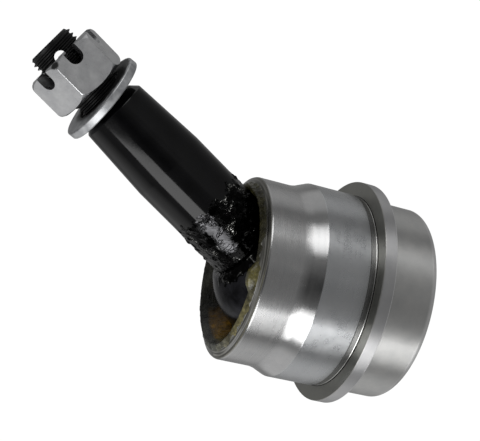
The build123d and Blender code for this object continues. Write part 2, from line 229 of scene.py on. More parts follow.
# Red is the roughness, green the depth of the tool marks and blue the share of mottling
finish_by_height = ramp_by_height(tree, height_share, [
    (-30.0, (0.365, 0.5, 0.2)),
    (-13.8, (0.365, 0.5, 0.2)),
    (-13.56, (0.385, 0.8, 0.3)),
    (-9.6, (0.385, 0.8, 0.3)),
    (-9.36, (0.28, 0.6, 0.5)),
    (-7.2, (0.26, 0.6, 0.5)),
    (-6.96, (0.29, 0.3, 1.0)),
    (7.44, (0.29, 0.3, 1.0)),
    (7.8, (0.24, 0.1, 0.4)),
    (12.3, (0.25, 0.1, 0.4)),
    (14.1, (0.275, 0.4, 0.2)),
    (25.2, (0.275, 0.4, 0.2)),
    (26.4, (0.20, 0.2, 0.4)),
])
base_roughness, tool_depth, mottled = node(tree, "ShaderNodeSeparateColor", {0: finish_by_height}).outputs
fine = lathe_marks(tree, height, radius, angle, fineness=5200, length=3.0)
rings = lathe_marks(tree, height, radius, angle, fineness=900, length=1.2)
mottle = noise_node(tree, place, scale=260.0, detail=6.0, roughness=0.62)
grain = noise_node(tree, place, scale=2600.0, detail=2.0)
pits = node(tree, "ShaderNodeTexVoronoi", {"Vector": place, "Scale": 900.0})
pit = ramp(tree, pits.outputs["Distance"], [(0.0, (1, 1, 1)), (0.09, (0, 0, 0))])
pit_share = ramp(tree, mottle, [(0.56, (0, 0, 0)), (0.66, (1, 1, 1))])
pit_depth = maths(tree, "MULTIPLY", node(tree, "ShaderNodeSeparateColor", {0: pit}).outputs[0],
                  node(tree, "ShaderNodeSeparateColor", {0: pit_share}).outputs[0])
uneven = maths(tree, "MULTIPLY", maths(tree, "SUBTRACT", mottle, 0.5), mottled)
rough = maths(tree, "MULTIPLY_ADD", uneven, 0.18, base_roughness)
rough = maths(tree, "MULTIPLY_ADD", maths(tree, "SUBTRACT", rings, 0.5), 0.10, rough)
rough = maths(tree, "MULTIPLY_ADD", pit_depth, 0.25, rough)
tree.links.new(rough, shader.inputs["Roughness"])
# Each turned zone has its own grey, and the lip's cone keeps a dark film of oil
# The relief and the flange's front face are darker, partly a film of oil and partly painted shade; the base's
# rounded end is lighter, a painted highlight
tone = ramp_by_height(tree, height_share, [
    (-30.0, (0.90, 0.90, 0.89)),
    (-29.52, (0.80, 0.80, 0.79)),
    (-28.8, (0.58, 0.58, 0.57)),
    (-13.74, (0.58, 0.58, 0.57)),
    (-13.62, (0.56, 0.56, 0.565)),
    (-9.66, (0.56, 0.56, 0.565)),
    (-9.54, (0.35, 0.35, 0.32)),
    (-9.24, (0.35, 0.35, 0.32)),
    (-9.0, (0.30, 0.30, 0.30)),
    (-7.56, (0.30, 0.30, 0.30)),
    (-7.08, (0.51, 0.52, 0.53)),
    (7.5, (0.51, 0.52, 0.53)),
    (7.74, (0.46, 0.46, 0.46)),
    (25.5, (0.46, 0.46, 0.46)),
    (25.92, (0.30, 0.295, 0.27)),
])
blotch = ramp(tree, mottle, [(0.3, (0.93, 0.935, 0.94)), (0.7, (1.06, 1.055, 1.05))])
tone = mix(tree, 1.0, tone, blotch, "MULTIPLY")
# Streaks of oil round the lip's cone. Painted light: the cone is twice as light between the front and -X, the
# side that faces the low softbox
on_cone = fade(tree, height_share, ramp_share(25.92), ramp_share(26.4))
streaks = ramp(tree, lathe_marks(tree, height, radius, angle, fineness=1900, length=1.6), [
    (0.38, (0.35, 0.35, 0.33)),
    (0.52, (1.0, 1.0, 1.0)),
    (0.64, (2.6, 2.6, 2.6)),
])
lamp_side = ramp(tree, turn_share(tree, angle), [
    (0.04, (1, 1, 1)),
    (0.10, (2.0, 2.0, 2.05)),
    (0.21, (2.0, 2.0, 2.05)),
    (0.26, (1, 1, 1)),
])
tone = mix(tree, on_cone, tone, streaks, "MULTIPLY")
tone = mix(tree, on_cone, tone, lamp_side, "MULTIPLY")
# Thin lines round the body, each with its middle, half its width and its colour: painted shade in the
# relief's corner, a painted highlight on the edge beside it, and a painted highlight on the flange's back
# edge
THIN_LINES = [
    (-9.27, 0.11, (0.02, 0.02, 0.02, 1)),
    (-9.02, 0.12, (0.80, 0.80, 0.78, 1)),
    (-13.55, 0.13, (0.90, 0.90, 0.90, 1)),
]
for middle, half_width, colour in THIN_LINES:
    tone = mix(tree, maths(tree, "COMPARE", height, middle * MM, half_width * MM), tone, colour)
tone = mix(tree, pit_depth, tone, (0.12, 0.11, 0.10, 1))
tree.links.new(tone, shader.inputs["Base Color"])
marks = maths(tree, "MULTIPLY", fine, tool_depth)
marks = maths(tree, "MULTIPLY_ADD", grain, 0.35, marks)
marks = maths(tree, "MULTIPLY_ADD", rings, 0.5, marks)
marks = maths(tree, "MULTIPLY_ADD", pit_depth, -1.5, marks)
bumps(tree, shader, marks, strength=0.25, depth=0.00003)
# The tool marks draw reflections out across the turning
shader.inputs["Anisotropic"].default_value = 0.87
shader.inputs["Anisotropic Rotation"].default_value = 0.25
tangent = node(tree, "ShaderNodeTangent", direction_type="RADIAL", axis="Z")
tree.links.new(tangent.outputs[0], shader.inputs["Tangent"])

mesh = bmesh.new()
outline_edges(mesh, HOUSING_OUTLINE)
turn(mesh, steps=240)
finished_piece("housing_body", mesh, Matrix(), "housing", housing_steel, ["housing"])


# Upper bearing and pressure cup. Two sintered rings, pressed into the bore and under spring load, that hold
# the ball between them. They are grey, with a film of grease.
def dress(material, *names):
    """Gives its material to each CAD node that is shown as it is."""
    for name in names:
        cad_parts[name].data.materials.clear()
        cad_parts[name].data.materials.append(material)


bearing_metal, tree, shader = new_finish("sintered_bearing", (0.20, 0.185, 0.15), metallic=0.8,
                                         roughness=0.35)
specks = noise_node(tree, own_place(tree), scale=1500.0, detail=5.0)
tree.links.new(ramp(tree, specks, [(0.35, (0.10, 0.09, 0.06)), (0.65, (0.26, 0.24, 0.20))]),
               shader.inputs["Base Color"])
tree.links.new(maths(tree, "MULTIPLY_ADD", specks, 0.4, 0.15), shader.inputs["Roughness"])
bumps(tree, shader, specks, strength=0.4, depth=0.0001)
dress(bearing_metal, "upper_bearing", "lower_bearing")

# Grease in the mouth. Olive to amber grease, pressed out between ball and lip: a film on the mouth's cone, a
# ragged bead along the rim and a blob at the front.
mouth_amber, tree, shader = new_finish("mouth_grease", (0.16, 0.13, 0.04), metallic=0.0, roughness=0.2)
place, height, _, angle = around_axis(tree)
blotch = noise_node(tree, place, scale=300.0, detail=6.0, roughness=0.65)
crumb = noise_node(tree, place, scale=1300.0, detail=4.0, distortion=1.0)
round_rim = turn_share(tree, angle)
# The bead and the lip's cone
olive = ramp(tree, round_rim, [
    (0.00, (0.110, 0.115, 0.095)),
    (0.08, (0.14, 0.13, 0.085)),
    (0.12, (0.20, 0.175, 0.080)),
    (0.185, (0.18, 0.160, 0.070)),
    (0.205, (0.10, 0.095, 0.060)),
    (0.225, (0.14, 0.125, 0.045)),
    (0.252, (0.13, 0.115, 0.040)),
    (0.268, (0.035, 0.032, 0.014)),
    (0.42, (0.026, 0.024, 0.011)),
    (0.46, (0.050, 0.046, 0.015)),
    (0.51, (0.040, 0.038, 0.013)),
    (0.56, (0.022, 0.022, 0.014)),
    (0.90, (0.030, 0.030, 0.024)),
    (1.00, (0.085, 0.088, 0.070)),
])
# The film inside, under the lip: amber where the grease's colour shows, and near black round most of the
# bore, partly dark grease and partly painted shade inside the mouth
amber = ramp(tree, round_rim, [
    (0.00, (0.070, 0.060, 0.020)),
    (0.05, (0.030, 0.025, 0.010)),
    (0.10, (0.020, 0.016, 0.006)),
    (0.55, (0.010, 0.010, 0.006)),
    (0.85, (0.012, 0.010, 0.005)),
    (0.895, (0.240, 0.120, 0.006)),
    (0.955, (0.300, 0.160, 0.008)),
    (0.985, (0.120, 0.090, 0.018)),
    (1.00, (0.070, 0.060, 0.020)),
])
streak = ramp(tree, blotch, [(0.34, (0.25, 0.25, 0.25)), (0.50, (0.8, 0.8, 0.8)), (0.66, (1.9, 1.9, 1.9))])
colour = mix(tree, fade(tree, height, 25.0 * MM, 26.0 * MM), amber, olive)
tree.links.new(mix(tree, 1.0, colour, streak, "MULTIPLY"), shader.inputs["Base Color"])
tree.links.new(maths(tree, "MULTIPLY_ADD", crumb, 0.5, 0.02), shader.inputs["Roughness"])
bumps(tree, shader, crumb, strength=0.45, depth=0.0003)


def smoothstep(value, start, end):
    share = min(max((value - start) / (end - start), 0), 1)
    return share * share * (3 - 2 * share)


def smear(mesh, steps, skin, depth):
    """Spins a closed outline and pushes its skin outwards by a depth in millimetres, found at each point."""
    turn(mesh, steps)
    mesh.normal_update()
    pushed = [(vertex, vertex.normal * depth(vertex.co)) for vertex in mesh.verts if skin(vertex)]
    for vertex, push in pushed:
        vertex.co += push
    mesh.normal_update()


def mouth_grease_depth(point):
    """Side is the angle in degrees from the front (-Y) towards +X."""
    across = point.xy.length
    side = math.degrees(math.atan2(point.x, -point.y))
    film = 0.20 + 0.12 * noise.noise(point * 0.5) + 0.06 * noise.noise(point * 1.7)
    inner = film * smoothstep(across, 26.6, 26.0)
    # The bead's ragged edge is nearer to the bore on the side where the stud leans
    wander = 0.9 * noise.noise(point * 0.45 + Vector((4, 4, 4))) + 0.5 * noise.noise(point * 1.3)
    leaning_side = smoothstep(abs(side - 66), 50, 38)
    edge = across + wander - 2.0 * leaning_side + 0.8 * smoothstep(side, -2, 10)
    bead = smoothstep(edge, 28.5, 27.2) * smoothstep(point.z, 26.6, 27.2)
    lumps = max(0, noise.noise(point * 0.6 + Vector((1, 8, 3))) + 0.1)
    rim = bead * (0.10 + 0.30 * lumps + 0.10 * noise.noise(point * 2.3))
    blob = smoothstep(math.hypot((side + 5) / 12, (across - 25.8) / 2.2), 1.0, 0.2)
    rim += 2.0 * blob * smoothstep(point.z, 24.7, 26.2)
    shelf = smoothstep(math.hypot((side - 84) / 26, (across - 25.9) / 1.9), 1.0, 0.4)
    rim += shelf * (0.7 + 0.5 * noise.noise(point * 1.1))
    return max(rim, inner) - 0.05


# Up the inner cone, over the lip and down its outer cone, then back inside the metal
MOUTH_FILM = [(21.2, 19.2), (23.99, 24.38), (24.06, 24.44), (26.18, 28.02),
              (30.1, 25.97), (29.6, 25.4), (26.2, 27.3), (21.6, 19.0)]
mesh = bmesh.new()
_, sides = closed_line(mesh, MOUTH_FILM)
for side_index, cuts in ((0, 16), (2, 14), (3, 22)):
    bmesh.ops.subdivide_edges(mesh, edges=[sides[side_index]], cuts=cuts)
smear(mesh, 500, lambda vertex: vertex.normal.z > 0.2, mouth_grease_depth)
finished_piece("mouth_grease", mesh, Matrix(), "housing", mouth_amber)

# Preload spring and the spring in the grease fitting. Hardened spring steel, blued, with bright rub marks.
# The first is a disc between the cup and the cover plate, and the second a coil behind the check ball.
spring_steel, tree, shader = new_finish("spring_steel", (0.16, 0.16, 0.17), metallic=1.0, roughness=0.32)
_, height, radius, angle = around_axis(tree)
rubs = lathe_marks(tree, height, radius, angle, fineness=2500, length=2.0)
tree.links.new(ramp(tree, rubs, [(0.4, (0.10, 0.10, 0.12)), (0.7, (0.34, 0.33, 0.32))]),
               shader.inputs["Base Color"])
tree.links.new(maths(tree, "MULTIPLY_ADD", rubs, 0.3, 0.15), shader.inputs["Roughness"])
dress(spring_steel, "preload_spring", "fitting_spring")

# Ball stud. Forged and machined steel with a black oxide finish: the ball, a thick shank, a long taper for
# the knuckle, and an M16 x 1.5 thread with a cross-drilled hole for a cotter pin.
LEAN = math.radians(30.7404)
BALL_CENTRE = 10
stud_axis = Vector((math.sin(LEAN), 0, math.cos(LEAN)))
# A mesh put here is built upright about the ball's centre. Materials see it leaning, and measure along its
# axis from the frame's origin
stud_place = (Matrix.Translation((0, 0, BALL_CENTRE * MM)) @ Matrix.Rotation(LEAN, 4, "Y")
              @ Matrix.Rotation(-math.pi / 2, 4, "Z"))
BALL_RADIUS = 22.0
BALL_FOOT = -20.4939
SHANK_FOOT = -4.0
SHANK_RADIUS = 12.78
SHOULDER = 79.3
CORE_RADIUS = 7.2
STUD_END = 105.7
THREAD_START = 78.8
PITCH = 1.5
CREST = 8.0
ROOT = 7.08
# The end of the thread is chamfered at 45 degrees over this length
END_CHAMFER = 1.3


def ball_point(radius, height):
    return math.sqrt(radius**2 - height**2), 0, height


def ball_arc(mesh, radius, start, end, steps):
    """Spins one point about Y into an arc of the ball between two heights, and gives the arc's two ends."""
    first = mesh.verts.new(ball_point(radius, start))
    sweep = math.asin(end / radius) - math.asin(start / radius)
    bmesh.ops.spin(mesh, geom=[first], cent=(0, 0, 0), axis=(0, -1, 0), dvec=(0, 0, 0), angle=sweep,
                   steps=steps, use_merge=False, use_normal_flip=False, use_duplicate=False)
    tip = Vector(ball_point(radius, end))
    last = next(vertex for vertex in mesh.verts if (vertex.co - tip).length < 1e-4)
    return first, last


def cut_by(piece_mesh, tool_mesh, operation):
    """Joins, cuts or intersects two closed meshes with Blender's exact boolean, and gives the result."""
    made = []
    for source in (piece_mesh, tool_mesh):
        data = bpy.data.meshes.new("blank")
        source.to_mesh(data)
        source.free()
        made.append(bpy.data.objects.new("blank", data))
        bpy.context.scene.collection.objects.link(made[-1])
    boolean = made[0].modifiers.new("cut", "BOOLEAN")
    boolean.object = made[1]
    boolean.operation = operation
    boolean.solver = "EXACT"
    evaluated = made[0].evaluated_get(bpy.context.evaluated_depsgraph_get())
    result = bmesh.new()
    result.from_mesh(evaluated.to_mesh())
    evaluated.to_mesh_clear()
    for blank in made:
        data = blank.data
        bpy.data.objects.remove(blank)
        bpy.data.meshes.remove(data)
    return result


def along_way(tree, place, direction):
    """How far a place lies along a direction."""
    return node(tree, "ShaderNodeVectorMath", {0: place, 1: tuple(direction)},
                operation="DOT_PRODUCT").outputs["Value"]


black_oxide, tree, shader = new_finish("black_oxide", (0.002, 0.002, 0.0025), metallic=0.0, roughness=0.10)
shader.inputs["IOR"].default_value = 1.35
place = own_place(tree)
along = along_way(tree, place, stud_axis)
# Fine tool marks round the stud
rings = node(tree, "ShaderNodeCombineXYZ", {2: maths(tree, "MULTIPLY", along, 3200)}).outputs[0]
wobble = node(tree, "ShaderNodeVectorMath", {0: place, 1: (120, 120, 120), 2: rings},
              operation="MULTIPLY_ADD").outputs[0]
fine = noise_node(tree, wobble, scale=1.0, detail=2.0)
cloud = noise_node(tree, place, scale=160.0, detail=7.0)
grain = noise_node(tree, place, scale=1900.0, detail=3.0)
# The threaded end is duller than the rest
threaded = fade(tree, along, 87.0 * MM, 88.0 * MM, top=0.40)
tree.links.new(maths(tree, "MULTIPLY_ADD", cloud, 0.10, maths(tree, "ADD", threaded, 0.04)),
               shader.inputs["Roughness"])
tree.links.new(ramp(tree, cloud, [(0.3, (0.0008, 0.0008, 0.001)), (0.75, (0.003, 0.003, 0.0035))]),
               shader.inputs["Base Color"])
marks = maths(tree, "MULTIPLY_ADD", grain, 0.6, maths(tree, "MULTIPLY", fine, 0.5))
bumps(tree, shader, marks, strength=0.12, depth=0.00003)

# The ball, the shank and the shoulder are one outline, and the thread goes round its core
mesh = bmesh.new()
ball_start, ball_end = ball_arc(mesh, BALL_RADIUS, BALL_FOOT, SHANK_FOOT, steps=12)
stud_points = [
    (SHANK_RADIUS, SHANK_FOOT, 0.2),
    (SHANK_RADIUS, 52.56, 0.35),
    (11.2525, 77.0, 0.3),
    (8.9525, SHOULDER, 0.1),
    (CORE_RADIUS, SHOULDER, 0),
]
chain = [mesh.verts.new((radius, 0, height)) for radius, height, _ in stud_points]
core_end = STUD_END - 1.0
chain.append(mesh.verts.new((CORE_RADIUS, 0, core_end)))
chain.append(mesh.verts.new((0, 0, core_end)))
chain.insert(0, ball_end)
for pair in zip(chain, chain[1:]):
    mesh.edges.new(pair)
mesh.edges.new((ball_start, mesh.verts.new((0, 0, BALL_FOOT))))
for corner, (_, _, rounding) in zip(chain[1:], stud_points):
    if rounding:
        round_corner(mesh, corner, rounding, 4)
turn(mesh, steps=128)
body_mesh = mesh

# The thread is a tooth outline spun once round while it climbs by one pitch, then cut square at both ends
TURN_STEPS = 96
mesh = bmesh.new()
teeth = []
for index in range(-1, 20):
    foot = 78.4 + index * PITCH
    teeth += [(CREST, foot), (CREST, foot + 0.19), (ROOT, foot + 0.72), (ROOT, foot + 0.97)]
chain = [mesh.verts.new((radius, 0, height)) for radius, height in teeth]
for pair in zip(chain, chain[1:]):
    mesh.edges.new(pair)
bmesh.ops.spin(mesh, geom=mesh.verts[:] + mesh.edges[:], cent=(0, 0, 0), axis=(0, 0, 1),
               dvec=(0, 0, PITCH / TURN_STEPS), angle=math.tau, steps=TURN_STEPS, use_merge=False,
               use_normal_flip=False, use_duplicate=False)
bmesh.ops.remove_doubles(mesh, verts=mesh.verts[:], dist=0.001)
for cut_height, direction in ((THREAD_START, -1), (STUD_END, 1)):
    bmesh.ops.bisect_plane(mesh, geom=mesh.verts[:] + mesh.edges[:] + mesh.faces[:], dist=0.00001,
                           plane_co=(0, 0, cut_height), plane_no=(0, 0, direction), clear_outer=True)
    rim = [edge for edge in mesh.edges
           if edge.is_boundary and all(abs(vertex.co.z - cut_height) < 1e-3 for vertex in edge.verts)]
    bmesh.ops.contextual_create(mesh, geom=rim)
for vertex in mesh.verts:
    limit = CREST + 0.05 - max(0.0, vertex.co.z - (STUD_END - END_CHAMFER))
    reach = vertex.co.xy.length
    if reach > limit:
        vertex.co.xy *= limit / reach
bmesh.ops.recalc_face_normals(mesh, faces=mesh.faces[:])
mesh = cut_by(body_mesh, mesh, "UNION")

# The cotter pin's hole
PIN_HOLE_RADIUS = 2.0
drill_place = (Matrix.Translation((0, 0, STUD_END - 5.5)) @ Matrix.Rotation(math.radians(-12), 4, "Z")
               @ Matrix.Rotation(math.pi / 2, 4, "Y"))
drill = bmesh.new()
bmesh.ops.create_cone(drill, cap_ends=True, segments=32, radius1=PIN_HOLE_RADIUS, radius2=PIN_HOLE_RADIUS,
                      depth=32, matrix=drill_place)
mesh = cut_by(mesh, drill, "DIFFERENCE")
finished_piece("ball_stud_body", mesh, stud_place, "stud", black_oxide, ["ball_stud"],
               sharp_from=40)

# Grease on the shank. Black, tacky grease smeared up out of the mouth, thin on the shank and ridged where it
# was wiped.
grease_black, tree, shader = new_finish("black_grease", (0.03, 0.03, 0.03), metallic=1.0, roughness=0.10)
place = own_place(tree)
swirl = noise_node(tree, place, scale=260.0, detail=5.0, distortion=0.8)
swell = noise_node(tree, place, scale=190.0, detail=0.0)
# Cells with narrow walls, warped and drawn out across the shank, so that the furrows run round it
warp = node(tree, "ShaderNodeTexNoise", {"Vector": place, "Scale": 420.0, "Detail": 2.0}).outputs["Color"]
warped = node(tree, "ShaderNodeVectorMath", {0: warp, 1: (0.0016, 0.0016, 0.0016), 2: place},
              operation="MULTIPLY_ADD").outputs[0]
stretch = maths(tree, "MULTIPLY", along_way(tree, warped, stud_axis), 1.6)
drawn = node(tree, "ShaderNodeVectorMath", {0: tuple(stud_axis), "Scale": stretch},
             operation="SCALE").outputs[0]
drawn = node(tree, "ShaderNodeVectorMath", {0: warped, 1: drawn}, operation="ADD").outputs[0]
wide, tight = (node(tree, "ShaderNodeTexVoronoi", {"Vector": drawn, "Scale": scale},
                    feature="DISTANCE_TO_EDGE").outputs["Distance"] for scale in (190.0, 560.0))
furrow = fade(tree, wide, 0.0, 0.05)
crease = fade(tree, tight, 0.0, 0.12)
# A thick wet patch, where the smear was wiped smooth on the side that faces the lamps. It is partly painted
# highlight: its colour is brighter only there, where the softbox's reflection falls
LAMP_FACING_SIDE = Vector((-0.4681, -0.8387, 0.2783))
facing = maths(tree, "MULTIPLY_ADD", swirl, 1.5 * MM, along_way(tree, place, LAMP_FACING_SIDE))
along = maths(tree, "MULTIPLY_ADD", swirl, 5 * MM, along_way(tree, place, stud_axis))
painted_wet_highlight = maths(tree, "MULTIPLY", fade(tree, facing, 15.95 * MM, 16.35 * MM),
            fade(tree, along, 31.4 * MM, 32.0 * MM))
creased = fade(tree, along, 35.0 * MM, 38.5 * MM)
tree.links.new(maths(tree, "MULTIPLY_ADD", swirl, 0.20, -0.01), shader.inputs["Roughness"])
dull = ramp(tree, swirl, [
    (0.40, (0.003, 0.003, 0.003)),
    (0.62, (0.008, 0.008, 0.008)),
    (0.72, (0.026, 0.026, 0.024)),
])
colour = mix(tree, painted_wet_highlight, dull, (0.066, 0.066, 0.069, 1))
# Painted glints: a few bright strokes of colour where a ridge stands up out of the smear
sparse = fade(tree, swirl, 0.575, 0.62)
ridge = fade(tree, tight, 0.07, 0.03)
painted_glint = maths(tree, "MULTIPLY", maths(tree, "MULTIPLY", sparse, ridge), maths(tree, "SUBTRACT", 1.0, painted_wet_highlight))
tree.links.new(mix(tree, painted_glint, colour, (0.40, 0.40, 0.38, 1)), shader.inputs["Base Color"])
few = fade(tree, swirl, 0.47, 0.56)
furrow = maths(tree, "MULTIPLY", furrow, maths(tree, "MULTIPLY_ADD", few, 0.16, 0.04))
wrinkles = maths(tree, "MULTIPLY_ADD", swell, 0.5, furrow)
few_creases = maths(tree, "MULTIPLY", maths(tree, "MULTIPLY", crease, few), creased)
wrinkles = maths(tree, "MULTIPLY_ADD", few_creases, 0.20, wrinkles)
bumps(tree, shader, wrinkles, strength=0.8, depth=0.0005)


def shank_grease_depth(point):
    """Side is the angle in degrees round the shank. One side was wiped smooth, and the rest is lumpy."""
    reach = smoothstep(point.z + 2.6 * noise.noise(point * 0.35) + 1.6 * noise.noise(point * 1.1), 37.5, 33.0)
    side = math.degrees(math.atan2(point.y, point.x))
    lamp_side = smoothstep(math.hypot((side + 33) / 26, (point.z - 22) / 13), 1.0, 0.6)
    lumps = max(0, noise.noise(point * 0.55 + Vector((3, 1, 7))) - 0.12) * (1 - lamp_side)
    ridges = 1 - abs(noise.noise(point * 0.9 + Vector((9, 4, 2))))
    drawn_out = Vector((point.x, point.y, point.z * 0.7))
    strings = max(0, 1 - 7 * abs(noise.noise(drawn_out * 0.75 + Vector((5, 2, 8)))))
    strings *= max(0, noise.noise(point * 0.3 + Vector((8, 8, 1))) + 0.15) * (1 - lamp_side)
    return reach * (0.09 + 0.10 * ridges**4 * (1 - 0.7 * lamp_side) + 0.9 * lumps + 0.35 * strings) - 0.04


mesh = bmesh.new()
_, sides = closed_line(mesh, [(12.3, 40), (12.75, 40), (12.75, 16.2), (12.3, 16.2)])
bmesh.ops.subdivide_edges(mesh, edges=[sides[1]], cuts=90)
smear(mesh, 300, lambda vertex: vertex.co.xy.length > 12.6, shank_grease_depth)
finished_piece("shank_grease", mesh, stud_place, "stud", grease_black)

# Half ball. The hardened and ground bearing ring that makes up the upper part of the ball. The shank turns in
# its bore, and the upper bearing holds it down.
HALF_BALL_FOOT = -3.95
HALF_BALL_TOP = 16.02
HALF_BALL_BORE = 12.83
ball_steel, tree, shader = new_finish("ball_steel", (0.06, 0.06, 0.066), metallic=1.0, roughness=0.25)
place = own_place(tree)
film = noise_node(tree, place, scale=240.0, detail=6.0, distortion=0.6)
tree.links.new(maths(tree, "MULTIPLY_ADD", film, 0.30, 0.10), shader.inputs["Roughness"])
colour = ramp(tree, film, [(0.35, (0.018, 0.018, 0.020)), (0.7, (0.050, 0.050, 0.058))])
# Painted shade: the ball is near black where it runs in under the lip at the front, in the gap's shadow
backwards = node(tree, "ShaderNodeSeparateXYZ", {0: place}).outputs[1]
painted_shade_under_lip = fade(tree, backwards, -14.0 * MM, -16.5 * MM)
tree.links.new(mix(tree, painted_shade_under_lip, colour, (0.003, 0.003, 0.003, 1)), shader.inputs["Base Color"])
bumps(tree, shader, film, strength=0.2, depth=0.0002)
mesh = bmesh.new()
ball_start, ball_end = ball_arc(mesh, BALL_RADIUS, HALF_BALL_FOOT, HALF_BALL_TOP, steps=20)
bore_top = mesh.verts.new((HALF_BALL_BORE, 0, HALF_BALL_TOP))
bore_foot = mesh.verts.new((HALF_BALL_BORE, 0, HALF_BALL_FOOT))
for pair in ((ball_end, bore_top), (bore_top, bore_foot), (bore_foot, ball_start)):
    mesh.edges.new(pair)
round_corner(mesh, bore_top, 0.5, 2)
turn(mesh, steps=128)
finished_piece("half_ball_ring", mesh, stud_place, "swivel", ball_steel, ["half_ball"])


# Grease on the half ball. The same black grease, heaped against the shank and spread over the ball's front.
# It goes round with the half ball.
def ball_grease_depth(point):
    """Side is the angle in degrees round the shank."""
    across = point.xy.length
    side = math.degrees(math.atan2(point.y, point.x))
    towards_front = smoothstep(abs(side + 20 + 14 * noise.noise(point * 0.3)), 70, 45)
    outer = smoothstep(across + 1.2 * noise.noise(point * 0.5), 18.5, 15.5) * towards_front
    inner = smoothstep(across, 14.6, 14.0) * smoothstep(point.z, 15.0, 15.9)
    ridges = 1 - abs(noise.noise(point * 0.8))
    lumps = max(0, noise.noise(point * 0.5 + Vector((2, 5, 1))))
    return max(inner * 0.8, outer) * (0.08 + 0.20 * ridges**3 + 0.5 * lumps) - 0.03


mesh = bmesh.new()
ball_start, ball_end = ball_arc(mesh, 21.96, 6.0, 15.98, steps=60)
back_line = [(12.9, 15.98), (12.9, 15.4), (14.4, 15.4), (20.6, 5.9)]
loop = [ball_end, *(mesh.verts.new((radius, 0, height)) for radius, height in back_line), ball_start]
sides = [mesh.edges.new(pair) for pair in zip(loop, loop[1:])]
bmesh.ops.subdivide_edges(mesh, edges=[sides[0]], cuts=12)
smear(mesh, 300, lambda vertex: vertex.co.z > 15.9 or vertex.co.length > 21.9, ball_grease_depth)
finished_piece("ball_grease", mesh, stud_place, "swivel", grease_black)

# Flat washer. Stamped steel, zinc plated and tumbled. It is loose and askew on the thread, between the
# shoulder and the nut.
WASHER_HOLE = 8.75
WASHER_RIM = 15.35
HALF_THICKNESS = 1.4
washer_zinc, tree, shader = new_finish("washer_zinc", (0.55, 0.56, 0.58), metallic=1.0, roughness=0.45)
place = own_place(tree)
cloud = noise_node(tree, place, scale=420.0, detail=6.0)
grain = noise_node(tree, place, scale=2400.0, detail=3.0)
tree.links.new(maths(tree, "MULTIPLY_ADD", cloud, 0.30, 0.33), shader.inputs["Roughness"])
colour = ramp(tree, cloud, [(0.35, (0.42, 0.43, 0.445)), (0.65, (0.62, 0.63, 0.64))])
# Black near the thread, partly grease and partly painted shade and painted reflection of the nut. It comes
# nearer to the rim on one side, so two axes bound it, each with a point on it, how far the black reaches from
# it and how wide its edge is
grease_and_painted_shade = 0.95
for centre, reach, edge_width in (((2.58, 0, 8.47), 15.6, 1.6), ((0, 0, BALL_CENTRE), 16.2, 0.5)):
    arm = node(tree, "ShaderNodeVectorMath", {0: place, 1: tuple(part * MM for part in centre)},
               operation="SUBTRACT").outputs[0]
    away = node(tree, "ShaderNodeVectorMath", {0: arm, 1: tuple(stud_axis)},
                operation="CROSS_PRODUCT").outputs[0]
    away = node(tree, "ShaderNodeVectorMath", {0: away}, operation="LENGTH").outputs["Value"]
    away = maths(tree, "MULTIPLY_ADD", cloud, 3.0 * MM, away)
    grease_and_painted_shade = maths(tree, "MULTIPLY", fade(tree, away, reach * MM, (reach - edge_width) * MM), grease_and_painted_shade)
tree.links.new(mix(tree, grease_and_painted_shade, colour, (0.05, 0.05, 0.05, 1)), shader.inputs["Base Color"])
bumps(tree, shader, grain, strength=0.4, depth=0.00008)
mesh = bmesh.new()
outline_edges(mesh, [(WASHER_HOLE, -HALF_THICKNESS, 0.5), (WASHER_RIM, -HALF_THICKNESS, 0.5),
                     (WASHER_RIM, HALF_THICKNESS, 0.5), (WASHER_HOLE, HALF_THICKNESS, 0.5)])
turn(mesh, steps=128)
# It hangs 0.1 mm off the thread's axis and tips by 9.1 degrees
off_axis = 0.1 * MM
off_way = math.radians(97)
washer_centre = (off_axis * math.cos(off_way), off_axis * math.sin(off_way), 82.336 * MM)
washer_place = (stud_place @ Matrix.Translation(washer_centre) @ Matrix.Rotation(math.radians(37), 4, "Z")
                @ Matrix.Rotation(math.radians(9.1), 4, "X"))
finished_piece("flat_washer_ring", mesh, washer_place, "washer", washer_zinc, ["flat_washer"])

# Slotted nut. A hexagon blank of zinc plated steel, cold forged, with both ends chamfered and six slots
# milled for the cotter pin. It is run part of the way on to the thread.
NUT_FOOT = 86.0965
NUT_HEIGHT = 14.5
ACROSS_FLATS = 24.0
CORNER = ACROSS_FLATS / 2 / math.cos(math.radians(30))
END_FACE = 11.6
NUT_BORE = 8.05
BORE_CHAMFER = 0.8
NUT_TURN = 4
SLOT_DEPTH = 5.5
SLOT_WIDTH = 5.0
nut_zinc, tree, shader = new_finish("nut_zinc", (0.63, 0.635, 0.64), metallic=1.0, roughness=0.30)
place = own_place(tree)
cloud = noise_node(tree, place, scale=300.0, detail=8.0, roughness=0.6)
grain = noise_node(tree, place, scale=3200.0, detail=2.0)
tree.links.new(maths(tree, "MULTIPLY_ADD", cloud, 0.20, 0.20), shader.inputs["Roughness"])
colour = ramp(tree, cloud, [(0.3, (0.60, 0.605, 0.62)), (0.7, (0.78, 0.785, 0.79))])
